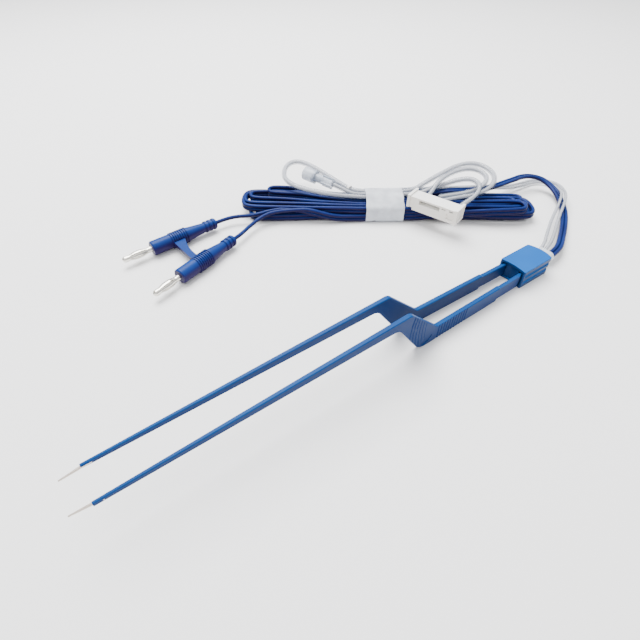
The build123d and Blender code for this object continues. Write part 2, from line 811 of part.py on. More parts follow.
def pump_cassette():
    """White moulded tray with two end flanges, a channel for the pumped tube and moulded recesses."""
    half_length, half_width = cassette_length / 2, cassette_width / 2
    step = cassette_flange_step
    tray = box_between(
        (-half_length + cassette_flange, -half_width + step, 0),
        (half_length - cassette_flange, half_width - step, cassette_height - step),
    )
    for side in (-1, 1):
        middle = side * (half_length - cassette_flange / 2)
        tray += Pos(middle, 0, cassette_height / 2) * Box(cassette_flange, cassette_width, cassette_height)
    top = cassette_height - step - cassette_cover
    channel_end = cassette_channel_shift + cassette_channel_length / 2
    tray -= box_between(
        (channel_end - cassette_channel_length, -half_width, top - cassette_channel_height),
        (channel_end, half_width - step - cassette_channel_wall, top),
    )
    front = step - half_width
    for index in range(2):
        slot_x = channel_end + cassette_slot_length / 2 + index * cassette_slot_spacing
        tray -= box_between(
            (slot_x, front - step, top - cassette_slot_height),
            (slot_x + cassette_slot_length, front + cassette_slot_depth, top),
        )
    panel_end = half_length - cassette_flange
    panel_top = top - 2 * cassette_slot_height
    tray -= box_between(
        (panel_end - cassette_panel_length, front - step, panel_top - cassette_panel_height),
        (panel_end, front + cassette_panel_depth, panel_top),
    )
    tray -= box_between(
        (half_length - cassette_end_recess, cassette_end_frame - half_width, cassette_end_frame),
        (half_length, half_width - cassette_end_frame, cassette_height - cassette_end_frame),
    )
    tray -= box_between(
        (-half_length, -half_width, 0),
        (cassette_foot_length - half_length, half_width, cassette_foot_step),
    )
    for side in (-1, 1):
        port = Pos(side * cassette_port_spacing / 2, half_width - step / 2, pump_tube_height) * Rot(90, 0, 0)
        tray += port * Cylinder(cassette_port_radius, step)
    return cassette_place * tray


def pump_segment():
    """Soft tube across the open channel, seated against the channel's back wall."""
    back = cassette_width / 2 - cassette_flange_step - cassette_channel_wall
    top = cassette_height - cassette_flange_step - cassette_cover
    level = top - cassette_channel_height / 2
    place = Pos(cassette_channel_shift, back - pump_segment_diameter / 2, level) * Rot(0, 90, 0)
    return cassette_place * place * Cylinder(pump_segment_diameter / 2, cassette_channel_length)


def fluid_connector():
    """Clear female connector with two lugs, a ribbed grip and a tapered bore."""
    body = Cylinder(connector_radius, connector_length)
    flange = Cylinder(connector_radius + connector_flange_step, connector_flange_length)
    body += Pos(0, 0, (connector_length - connector_flange_length) / 2) * flange
    for turn in (0, 90):
        wings = Box(2 * connector_radius + 1.6, 0.8, connector_length / 2)
        body += Rot(0, 0, turn) * Pos(0, 0, -connector_length / 4) * wings
    return body - Pos(0, 0, connector_length / 4) * Cone(1.8, 2.1, connector_length / 2)


def connector_cap():
    """Closed cap whose skirt goes over the connector's flange and stops on its end face."""
    cap = Cylinder(connector_cap_radius, connector_cap_length)
    cap = fillet(cap.edges().sort_by(Axis.Z)[-1], 0.8)
    bore = Cylinder(connector_radius + connector_flange_step + cap_clearance, connector_flange_length)
    return cap - Pos(0, 0, (connector_flange_length - connector_cap_length) / 2) * bore


def tube_collar():
    """Small ring on the left loop, beside the band."""
    path = cord_path(left_loop_points)
    place = Plane(origin=path @ (collar_place / path.length), z_dir=path % (collar_place / path.length))
    bore = Cylinder(main_tube_diameter / 2 + cap_clearance, collar_length)
    return place * (Cylinder(collar_radius, collar_length) - bore)


branch_end, branch_before = Vector(*branch_points[-1]), Vector(*branch_points[-2])
branch_plane = Plane(origin=branch_end, z_dir=branch_end - branch_before)
save(pump_cassette(), "pump_cassette")
save(pump_segment(), "pump_segment")
save(branch_plane * Pos(0, 0, connector_length / 2) * fluid_connector(), "fluid_connector")
cap_start = connector_length - connector_flange_length
save(branch_plane * Pos(0, 0, cap_start + connector_cap_length / 2) * connector_cap(), "connector_cap")
save(tube_collar(), "tube_collar")
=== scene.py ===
import math
import random

import bmesh
import bpy
from mathutils import Matrix, Vector, noise


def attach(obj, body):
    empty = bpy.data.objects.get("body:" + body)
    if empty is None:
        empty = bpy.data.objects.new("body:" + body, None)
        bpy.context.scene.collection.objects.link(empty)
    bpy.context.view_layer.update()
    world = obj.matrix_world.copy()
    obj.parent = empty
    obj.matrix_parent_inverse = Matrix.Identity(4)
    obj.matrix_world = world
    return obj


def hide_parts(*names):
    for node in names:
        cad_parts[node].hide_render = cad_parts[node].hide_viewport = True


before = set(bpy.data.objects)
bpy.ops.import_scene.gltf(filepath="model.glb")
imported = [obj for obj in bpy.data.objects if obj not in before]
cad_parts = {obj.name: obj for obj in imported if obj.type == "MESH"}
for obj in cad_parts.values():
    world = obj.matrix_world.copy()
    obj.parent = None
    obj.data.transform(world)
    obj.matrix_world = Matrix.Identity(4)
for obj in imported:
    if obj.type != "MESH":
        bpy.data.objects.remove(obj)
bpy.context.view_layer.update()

# Table, light and camera.
# A plain pale table top, lit by a broad soft light from above and behind and a weaker one from the
# front, and seen from above the tips at the height of a standing user.

table_half_width = 3.0
table_level = -0.0002
table_colour = (0.93, 0.93, 0.935, 1)
table_roughness = 0.9
horizon_glow = (0.42, 0.43, 0.47, 1)
zenith_glow = (1.55, 1.55, 1.55, 1)
glow_top = 0.8
light_aim = (0.03, 0.04, 0)
overhead_place = (0.10, 0.45, 0.85)
overhead_size = 0.8
overhead_power = 24
front_place = (-0.55, -0.75, 0.55)
front_size = 0.6
front_power = 1
camera_place = (-0.0791, -0.0788, 0.133)
camera_heading = -35.115
camera_tilt = 45
camera_lens = 24.244
camera_sensor = 36.0


class Link:
    """A socket in a finish or a shape's tree, so that maths on it reads as plain arithmetic."""

    def __init__(self, tree, socket):
        self.tree = tree
        self.socket = socket

    def node(self, kind, settings=None, sockets=None, output=0):
        """Add a node, set what it is, then its sockets' values or links, and wrap one output."""
        made = self.tree.nodes.new(kind)
        for name, value in (settings or {}).items():
            setattr(made, name, value)
        for name, value in (sockets or {}).items():
            if isinstance(value, Link):
                self.tree.links.new(value.socket, made.inputs[name])
            else:
                made.inputs[name].default_value = value
        return Link(self.tree, made.outputs[output])

    def maths(self, operation, *values):
        return self.node("ShaderNodeMath", {"operation": operation}, dict(enumerate(values)))

    def __add__(self, other):
        return self.maths("ADD", self, other)

    def __sub__(self, other):
        return self.maths("SUBTRACT", self, other)

    def __mul__(self, other):
        return self.maths("MULTIPLY", self, other)

    __radd__ = __add__
    __rmul__ = __mul__

    def mix(self, low, high):
        """A colour between two others, by this mask."""
        return self.node("ShaderNodeMix", {"data_type": "RGBA"}, {0: self, 6: low, 7: high}, 2)

    def noise(self, scale, detail=2.0):
        return self.node("ShaderNodeTexNoise", {}, {"Vector": self, "Scale": scale, "Detail": detail})

    def smooth_step(self, low, high):
        return self.node(
            "ShaderNodeMapRange",
            {"interpolation_type": "SMOOTHSTEP"},
            {"Value": self, "From Min": low, "From Max": high},
        )


table_mesh = bpy.data.meshes.new("table_top")
corners = [(-1, -1), (1, -1), (1, 1), (-1, 1)]
places = [(table_half_width * x, table_half_width * y, table_level) for x, y in corners]
table_mesh.from_pydata(places, [], [(0, 1, 2, 3)])
table = bpy.data.objects.new("table_top", table_mesh)
bpy.context.scene.collection.objects.link(table)
table_finish = bpy.data.materials.new("pale_table")
table_finish.use_nodes = True
table_finish.node_tree.nodes["Principled BSDF"].inputs["Base Color"].default_value = table_colour
table_finish.node_tree.nodes["Principled BSDF"].inputs["Roughness"].default_value = table_roughness
table_mesh.materials.append(table_finish)

sky = bpy.data.worlds.new("studio")
sky.use_nodes = True
direction = Link(sky.node_tree, sky.node_tree.nodes.new("ShaderNodeTexCoord").outputs["Generated"])
height = direction.node("ShaderNodeSeparateXYZ", {}, {"Vector": direction}, 2)
glow = height.smooth_step(0.0, glow_top).mix(horizon_glow, zenith_glow)
sky.node_tree.links.new(glow.socket, sky.node_tree.nodes["Background"].inputs["Color"])
bpy.context.scene.world = sky


def soft_light(name, place, aim, size, power):
    """A round area light turned towards one point."""
    lamp = bpy.data.lights.new(name, "AREA")
    lamp.shape = "DISK"
    lamp.size = size
    lamp.energy = power
    holder = bpy.data.objects.new(name, lamp)
    holder.location = place
    holder.rotation_euler = (Vector(aim) - Vector(place)).to_track_quat("-Z", "Y").to_euler()
    bpy.context.scene.collection.objects.link(holder)


soft_light("overhead_light", overhead_place, light_aim, overhead_size, overhead_power)
soft_light("front_light", front_place, light_aim, front_size, front_power)

camera = bpy.data.cameras.new("camera")
camera.sensor_width = camera_sensor
camera.lens = camera_lens
camera.clip_start = 0.01
camera_holder = bpy.data.objects.new("camera", camera)
camera_holder.location = camera_place
camera_holder.rotation_euler = (math.radians(camera_tilt), 0, math.radians(camera_heading))
bpy.context.scene.collection.objects.link(camera_holder)
bpy.context.scene.camera = camera_holder

# Arm jackets.
# Blue nylon moulded over each steel blade, left satin by the mould, with the fine spark texture and
# faint flow marks of such mouldings.

arm_blue = (0.0010, 0.042, 0.175, 1)
arm_blue_pale = (0.0015, 0.052, 0.200, 1)
# Painted shade: the deeper blue below is laid on the jackets' upright and downward faces.
arm_painted_shade_blue = (0.0025, 0.024, 0.110, 1)
arm_roughness = 0.46
plastic_gloss = 0.12
mould_grain = 2600.0
mould_flow = 45.0
jacket_grain_depth = 0.00003


def new_finish(name, **sockets):
    """A material, its shader and the place on the piece that its patterns read."""
    material = bpy.data.materials.new(name)
    material.use_nodes = True
    tree = material.node_tree
    shader = tree.nodes["Principled BSDF"]
    for socket, value in sockets.items():
        shader.inputs[socket.replace("_", " ")].default_value = value
    place = Link(tree, tree.nodes.new("ShaderNodeTexCoord").outputs["Object"])
    return material, shader, place


def feed(shader, socket, value):
    """Lead a pattern into one socket of the shader."""
    value.tree.links.new(value.socket, shader.inputs[socket])


def moulded_finish(name, colour, pale_colour, painted_shade_colour, roughness, grain, grain_depth, **sockets):
    """Moulded plastic: slow flow marks, painted shade in a deeper colour on upright faces, and a fine grain.
    """
    sockets.setdefault("Specular_IOR_Level", plastic_gloss)
    material, shader, place = new_finish(name, **sockets)
    flow = place.noise(mould_flow, 3.0)
    facing = place.node("ShaderNodeTexCoord", output=1)
    # Painted shade: faces turned away from straight up fade into the deeper shade colour, as if lit only
    # from above.
    painted_light_by_facing = facing.node("ShaderNodeSeparateXYZ", {}, {"Vector": facing}, 2).smooth_step(0.1, 0.95)
    feed(shader, "Base Color", painted_light_by_facing.mix(painted_shade_colour, flow.smooth_step(0.35, 0.7).mix(colour, pale_colour)))
    feed(shader, "Roughness", roughness + 0.12 * (flow - 0.5))
    texture = place.noise(grain, 3.0)
    bump = place.node("ShaderNodeBump", {}, {"Strength": 0.5, "Distance": grain_depth, "Height": texture})
    feed(shader, "Normal", bump)
    return material


def dress(name, material):
    """Give a solid of the frame its finish."""
    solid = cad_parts[name]
    if not solid.material_slots:
        solid.data.materials.append(material)
    for slot in solid.material_slots:
        slot.material = material


jacket_finish = moulded_finish(
    "blue_jacket", arm_blue, arm_blue_pale, arm_painted_shade_blue, arm_roughness, mould_grain, jacket_grain_depth
)
for side in ("right", "left"):
    dress(f"{side}_jacket", jacket_finish)

# Blades, terminals and inlet barbs.
# Ground stainless strip with a turned tip, a brass crimp barrel at its back end and a thin steel
# tube for the saline. Only the tips show past the jackets.

steel_colour = (0.56, 0.47, 0.40, 1)
steel_pale = (0.80, 0.74, 0.68, 1)
grinding_scale = (900.0, 9000.0, 9000.0)
grinding_depth = 0.00002
steel_roughness = 0.20
brass_colour = (0.72, 0.55, 0.24, 1)
brass_pale = (0.86, 0.72, 0.40, 1)
brass_roughness = 0.25


def ground_metal(name, colour, pale_colour, roughness):
    """Metal with grinding marks along the forceps."""
    material, shader, place = new_finish(name, Metallic=1.0)
    along = place.node("ShaderNodeMapping", {}, {"Scale": grinding_scale})
    marks = along.noise(1.0, 4.0)
    feed(shader, "Base Color", marks.smooth_step(0.3, 0.7).mix(colour, pale_colour))
    feed(shader, "Roughness", roughness + 0.15 * marks)
    bump = place.node("ShaderNodeBump", {}, {"Strength": 0.3, "Distance": grinding_depth, "Height": marks})
    feed(shader, "Normal", bump)
    return material


steel = ground_metal("ground_steel", steel_colour, steel_pale, steel_roughness)
brass = ground_metal("crimp_brass", brass_colour, brass_pale, brass_roughness)
for side in ("right", "left"):
    dress(f"{side}_blade", steel)
    dress(f"{side}_irrigation_barb", steel)
    dress(f"{side}_terminal", brass)

# Rear housing and spacer.
# Two mouldings in a lighter blue: the cover with its ridged sides, and the core that holds the
# spring strips apart inside its mouth.

housing_blue = (0.0015, 0.090, 0.340, 1)
housing_blue_pale = (0.002, 0.105, 0.370, 1)
# Painted shade: the deeper blue below is laid on the housing's upright and downward faces.
housing_painted_shade_blue = (0.004, 0.034, 0.125, 1)
housing_roughness = 0.42
housing_grain_depth = 0.00002

housing_finish = moulded_finish(
    "housing_blue", housing_blue, housing_blue_pale, housing_painted_shade_blue, housing_roughness, mould_grain,
    housing_grain_depth,
)
dress("rear_housing", housing_finish)
dress("arm_spacer", housing_finish)

# Exit sleeve.
# Clear soft plastic oval, bonded round the cord and the two tubes where they leave the housing.

sleeve_tint = (0.80, 0.88, 0.96, 1)
sleeve_pale = (0.9, 0.94, 0.98, 1)
sleeve_cloud = 700.0

sleeve_finish, sleeve_shader, sleeve_place = new_finish("clear_sleeve", Alpha=0.55, Roughness=0.18)
cloud = sleeve_place.noise(sleeve_cloud)
feed(sleeve_shader, "Base Color", cloud.mix(sleeve_tint, sleeve_pale))
dress("exit_sleeve", sleeve_finish)

# Power cord.
# A flat twin of two blue strands side by side. It leaves the housing, crosses to the hank, is folded
# back and forth through it and comes out along the front, where its strands part for the plugs.

strand_radius = 0.00105
hank_middle = (0.077, 0.0803)
hank_turn = math.radians(-35.1)
band_half_width = 0.0105
fold_least_half = 0.0036
fold_round = 0.007
fold_straight_end = 0.019
strand_play = 0.0005
strand_seat = 0.96
cord_blue = (0.003, 0.014, 0.098, 1)
cord_blue_pale = (0.005, 0.025, 0.150, 1)
# Painted shade: the dark purple below is laid on the strands' sides and undersides.
cord_painted_shade_purple = (0.007, 0.004, 0.038, 1)
cord_roughness = 0.34
cord_grain = 1400.0
cord_grain_depth = 0.00002

cord_exit = (0.113, -0.0024, 0.0049)
lead_route = [
    cord_exit,
    (0.122, -0.0018, 0.0047),
    (0.134, 0.004, 0.0036),
    (0.1475, 0.011, 0.0026),
    (0.16, 0.0188, 0.0024),
    (0.168, 0.0262, 0.0027),
    (0.174, 0.0336, 0.0038),
    (0.1765, 0.041, 0.0054),
    (0.1756, 0.0474, 0.007),
    (0.17, 0.0516, 0.0084),
    (0.162, 0.053, 0.0094),
]
landing_route = [
    (0.0806, 0.0224, 0.0101),
    (0.0737, 0.0176, 0.0107),
    (0.0669, 0.013, 0.0109),
    (0.0604, 0.0096, 0.0109),
    (0.053, 0.008, 0.0108),
    (0.046, 0.0077, 0.0106),
    (0.04, 0.008, 0.0106),
    (0.03, 0.0084, 0.009),
    (0.02, 0.0078, 0.0072),
    (0.011, 0.0078, 0.0066),
]
tail_route = [
    (-0.02, -0.0085, 0.0025),
    (-0.027, -0.0092, 0.003),
    (-0.034, -0.0092, 0.0046),
    (-0.042, -0.0084, 0.0067),
    (-0.05, -0.0074, 0.007),
    (-0.058, -0.0074, 0.0067),
]
# One row for each pass through the band: how far back it lies and how high, then how far out the
# fold after it reaches, how far back that fold is shifted and how high it lies.
hank_passes = [
    (0.0088, 0.0065, 0.08, 0.0038, 0.0063),
    (-0.0073, 0.0065, 0.084, -0.0015, 0.0044),
    (0.0088, 0.0024, 0.076, -0.001, 0.0024),
    (-0.0059, 0.0024, 0.082, -0.0009, 0.0025),
    (0.0068, 0.0024, 0.072, -0.0024, 0.0025),
    (-0.0039, 0.0024, 0.08, -0.0004, 0.0026),
    (0.0048, 0.0024, 0.068, -0.0036, 0.0026),
    (-0.0019, 0.0024, 0.076, 0.0, 0.0026),
    (0.0028, 0.0024, 0.064, -0.0046, 0.0028),
    (0.0004, 0.0024, 0.079, 0.001, 0.0064),
    (0.0068, 0.0065, 0.079, 0.0044, 0.0064),
    (-0.0043, 0.0065, 0.08, -0.0006, 0.0066),
    (0.0048, 0.0065, 0.076, 0.0064, 0.007),
    (-0.0022, 0.0065, 0.074, 0.0, 0.0069),
    (0.0026, 0.0065, 0.066, 0.0105, 0.0078),
    (0.0002, 0.0065, 0.077, -0.0034, 0.0086),
]
tail_pass = (-0.0076, 0.0024)


def beside(points):
    """Points measured along, across and above the hank, as places in the frame."""
    turn = Matrix.Rotation(hank_turn, 3, "Z")
    return [tuple(turn @ Vector(point) + Vector((*hank_middle, 0))) for point in points]


def wind_hank():
    """Control points of the whole winding, from the first pass through the band to the last."""
    play = random.Random(4)
    points = []
    sign = -1
    following = hank_passes[1:] + [(*tail_pass, 0, 0, 0)]
    for (side, level, reach, shift, fold_level), (next_side, next_level, *_) in zip(hank_passes, following):
        middle = (side + next_side) / 2 + shift
        half = max(abs(side - next_side) / 2 * 1.1, fold_least_half)
        if side < next_side:
            half = -half

        def between(distance, edge, start, start_level):
            """A point of a strand on its way from the band to the edge of a fold."""
            share = min(1.0, (distance - band_half_width) / (reach - fold_round - band_half_width))
            share = share * share * (3 - 2 * share)
            wander = play.uniform(-strand_play, strand_play)
            across = start + share * (edge - start) + wander
            return (sign * distance, across, start_level + share * (fold_level - start_level))

        straight = reach - fold_straight_end - band_half_width
        outward = [band_half_width + share * straight for share in (0, 0.3, 0.65, 1)]
        points += [between(distance, middle + half, side, level) for distance in outward]
        points += [
            (sign * (reach - fold_round * 0.6), middle + half, fold_level),
            (sign * reach, middle + 0.62 * half, fold_level),
            (sign * reach, middle - 0.62 * half, fold_level),
            (sign * (reach - fold_round * 0.6), middle - half, fold_level),
        ]
        points += [between(distance, middle - half, next_side, next_level) for distance in reversed(outward)]
        sign = -sign
    return points


def route_curve(name, places, tilts=None):
    """A curve object along one smooth line that a limp cord takes through its route."""
    curve = bpy.data.curves.new(name, "CURVE")
    curve.dimensions = "3D"
    curve.resolution_u = 6
    curve.twist_mode = "Z_UP"
    spline = curve.splines.new("NURBS")
    spline.points.add(len(places) - 1)
    for index, place in enumerate(places):
        spline.points[index].co = (*place, 1)
        spline.points[index].tilt = tilts[index] if tilts else 0
    spline.order_u = 3
    spline.use_endpoint_u = True
    piece = bpy.data.objects.new(name, curve)
    bpy.context.scene.collection.objects.link(piece)
    return piece


def line_of(piece):
    """The points of the smooth line itself."""
    outline = bpy.data.meshes.new_from_object(piece)
    return [tuple(vertex.co) for vertex in outline.vertices]


def length_of(line):
    """How long a line of points is."""
    return sum((Vector(end) - Vector(start)).length for start, end in zip(line, line[1:]))


def new_tree(name, inputs):
    """A shape's tree with named inputs, its input links by name and a start for new nodes."""
    tree = bpy.data.node_groups.new(name, "GeometryNodeTree")
    tree.interface.new_socket("Geometry", in_out="INPUT", socket_type="NodeSocketGeometry")
    tree.interface.new_socket("Geometry", in_out="OUTPUT", socket_type="NodeSocketGeometry")
    for label, kind in inputs.items():
        tree.interface.new_socket(label, in_out="INPUT", socket_type=kind)
    entry = tree.nodes.new("NodeGroupInput")
    given = {socket.name: Link(tree, socket) for socket in entry.outputs if socket.name}
    return tree, given


def close_tree(shape, material=None):
    """Realize the copies, set the finish and hand the shape out."""
    shape = shape.node("GeometryNodeRealizeInstances", {}, {"Geometry": shape})
    if material:
        shape = shape.node("GeometryNodeSetMaterial", {}, {"Geometry": shape, "Material": material})
    smooth = shape.node("GeometryNodeSetShadeSmooth", {}, {0: shape})
    ending = shape.tree.nodes.new("NodeGroupOutput")
    shape.tree.links.new(smooth.socket, ending.inputs[0])


def grow(piece, tree, values):
    """Run a tree on an object and keep the result as a plain mesh piece of the same name."""
    modifier = piece.modifiers.new("shape", "NODES")
    modifier.node_group = tree
    for item in tree.interface.items_tree:
        if item.in_out == "INPUT" and item.name in values:
            modifier[item.identifier] = values[item.name]
    evaluated = piece.evaluated_get(bpy.context.evaluated_depsgraph_get())
    mesh = bpy.data.meshes.new_from_object(evaluated)
    name = piece.name
    bpy.data.objects.remove(piece)
    made = bpy.data.objects.new(name, mesh)
    bpy.context.scene.collection.objects.link(made)
    return made


def join_shapes(shapes):
    """Several shapes as one."""
    joint = shapes[0].tree.nodes.new("GeometryNodeJoinGeometry")
    for shape in shapes:
        shape.tree.links.new(shape.socket, joint.inputs[0])
    return Link(shapes[0].tree, joint.outputs[0])


def twin_tree():
    """Two round strands side by side along a curve."""
    tree, given = new_tree("twin_strands", {"Radius": "NodeSocketFloat", "Material": "NodeSocketMaterial"})
    strand = given["Radius"]
    ring = strand.node(
        "GeometryNodeCurvePrimitiveCircle", {"mode": "RADIUS"}, {"Resolution": 12, "Radius": strand}
    )
    sides = []
    for sign in (-1, 1):
        shift = strand.node("ShaderNodeCombineXYZ", {}, {0: strand * (sign * strand_seat)})
        sides.append(ring.node("GeometryNodeTransform", {}, {"Geometry": ring, "Translation": shift}))
    profile = join_shapes(sides)
    line = given["Geometry"]
    tube = line.node(
        "GeometryNodeCurveToMesh", {}, {"Curve": line, "Profile Curve": profile, "Fill Caps": True}
    )
    close_tree(tube, given["Material"])
    return tree


cord_finish = moulded_finish(
    "blue_cord", cord_blue, cord_blue_pale, cord_painted_shade_purple, cord_roughness, cord_grain, cord_grain_depth
)
cord_route = lead_route + beside(landing_route + wind_hank() + tail_route)
lead_count = len(lead_route) + len(landing_route)
tilts = [0.0] * lead_count + [math.pi / 2] * (len(cord_route) - lead_count - 2) + [0.5, 0.0]
power_line = route_curve("power_cord", cord_route, tilts)
power_path = line_of(power_line)
power_cord = grow(power_line, twin_tree(), {"Radius": strand_radius, "Material": cord_finish})
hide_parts("power_cord_lead", "power_cord_hank", "power_cord_tail")
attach(power_cord, "housing")

# Plug wires.
# The cord's two strands, each by itself, from where they part to the back of each plug.

wire_diameter = 0.0021
wire_routes = {
    "first_plug_wire": [
        (-0.058, -0.00635, 0.0067),
        (-0.064, -0.0074, 0.0064),
        (-0.07, -0.0092, 0.0054),
        (-0.076, -0.0098, 0.0047),
        (-0.0825, -0.0098, 0.0043),
        (-0.0886, -0.0123, 0.0042),
        (-0.0933, -0.0163, 0.0042),
    ],
    "second_plug_wire": [
        (-0.058, -0.00845, 0.0067),
        (-0.062, -0.0092, 0.0065),
        (-0.066, -0.0106, 0.0058),
        (-0.0695, -0.013, 0.0049),
        (-0.0726, -0.0168, 0.0043),
        (-0.0754, -0.022, 0.0042),
        (-0.078, -0.0274, 0.0042),
        (-0.0813, -0.0322, 0.0042),
    ],
}


def round_cord(name, places, diameter, finish):
    """A round cord or tube along a route, and how long it is."""
    piece = route_curve(name, places)
    length = length_of(line_of(piece))
    piece.data.bevel_depth = diameter / 2
    piece.data.bevel_resolution = 4
    piece.data.use_fill_caps = True
    piece.data.materials.append(finish)
    return piece, length


for name, route in wire_routes.items():
    label = name.split("_")[0]
    places = beside(route)
    wire, length = round_cord(f"{label}_wire_strand", places, wire_diameter, cord_finish)
    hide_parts(name)
    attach(wire, "housing")

# Plugs.
# One soft moulding holds both pins and the web between them. The pins are turned and nickel plated,
# each with a lantern spring that grips the socket.

plug_blue = (0.003, 0.030, 0.170, 1)
plug_blue_pale = (0.005, 0.040, 0.210, 1)
# Painted shade: the dark purple below is laid on the plug moulding's upright and downward faces.
plug_painted_shade_purple = (0.013, 0.007, 0.060, 1)
plug_roughness = 0.36
plug_grain = 1800.0
plug_grain_depth = 0.00002
nickel_colour = (0.66, 0.63, 0.56, 1)
nickel_pale = (0.86, 0.84, 0.78, 1)
nickel_roughness = 0.16

plug_finish = moulded_finish(
    "blue_plug", plug_blue, plug_blue_pale, plug_painted_shade_purple, plug_roughness, plug_grain, plug_grain_depth
)
dress("plug_moulding", plug_finish)
nickel = ground_metal("plated_nickel", nickel_colour, nickel_pale, nickel_roughness)
for label in ("first", "second"):
    dress(f"{label}_plug_pin", nickel)
    dress(f"{label}_plug_spring", nickel)

# Inner wires.
# The two blue strands' insulated ends inside the housing, just behind the crimp barrels.

for side in ("right", "left"):
    dress(f"{side}_inner_wire", cord_finish)

# Clear tubing.
# Soft clear tube with a wall a quarter of its width. Two thin leads carry saline to the arms, and
# wider tube makes the loops over the hank and runs to the pump.

lead_diameter = 0.0018
tube_diameter = 0.0030
bore_share = 0.62
# The wall's dark blue-grey is partly the tube's own tint and partly painted shade, darkening the tube's
# edges where the walls overlap.
tube_tint_and_edge_shade = (0.09, 0.12, 0.19, 1)
tube_tint_and_edge_shade_pale = (0.14, 0.18, 0.26, 1)
# Painted light: the bore's near-white, nearly opaque lining brightens the middle of each tube.
core_painted_light = (0.92, 0.92, 0.93, 1)
core_painted_light_pale = (0.97, 0.97, 0.98, 1)
tube_haze = 500.0


def tube_tree():
    """A round tube with its bore along a curve."""
    tree, given = new_tree("clear_tube", {
        "Radius": "NodeSocketFloat", "Bore": "NodeSocketFloat",
        "Material": "NodeSocketMaterial", "Core": "NodeSocketMaterial",
    })
    line = given["Geometry"]
    walls = []
    for radius, finish in ((given["Radius"], given["Material"]), (given["Bore"], given["Core"])):
        ring = line.node(
            "GeometryNodeCurvePrimitiveCircle", {"mode": "RADIUS"}, {"Resolution": 20, "Radius": radius}
        )
        wall = line.node(
            "GeometryNodeCurveToMesh", {}, {"Curve": line, "Profile Curve": ring, "Fill Caps": True}
        )
        walls.append(wall.node("GeometryNodeSetMaterial", {}, {"Geometry": wall, "Material": finish}))
    bore = walls[1].node("GeometryNodeFlipFaces", {}, {"Mesh": walls[1]})
    close_tree(join_shapes([walls[0], bore]))
    return tree


tube_finish, tube_shader, tube_place = new_finish("clear_tubing", Roughness=0.10, Alpha=0.36)
haze = tube_place.noise(tube_haze)
feed(tube_shader, "Base Color", haze.mix(tube_tint_and_edge_shade, tube_tint_and_edge_shade_pale))
core_finish, core_shader, core_place = new_finish("painted_light_bore", Roughness=0.3, Alpha=0.8)
feed(core_shader, "Base Color", core_place.noise(tube_haze).mix(core_painted_light, core_painted_light_pale))

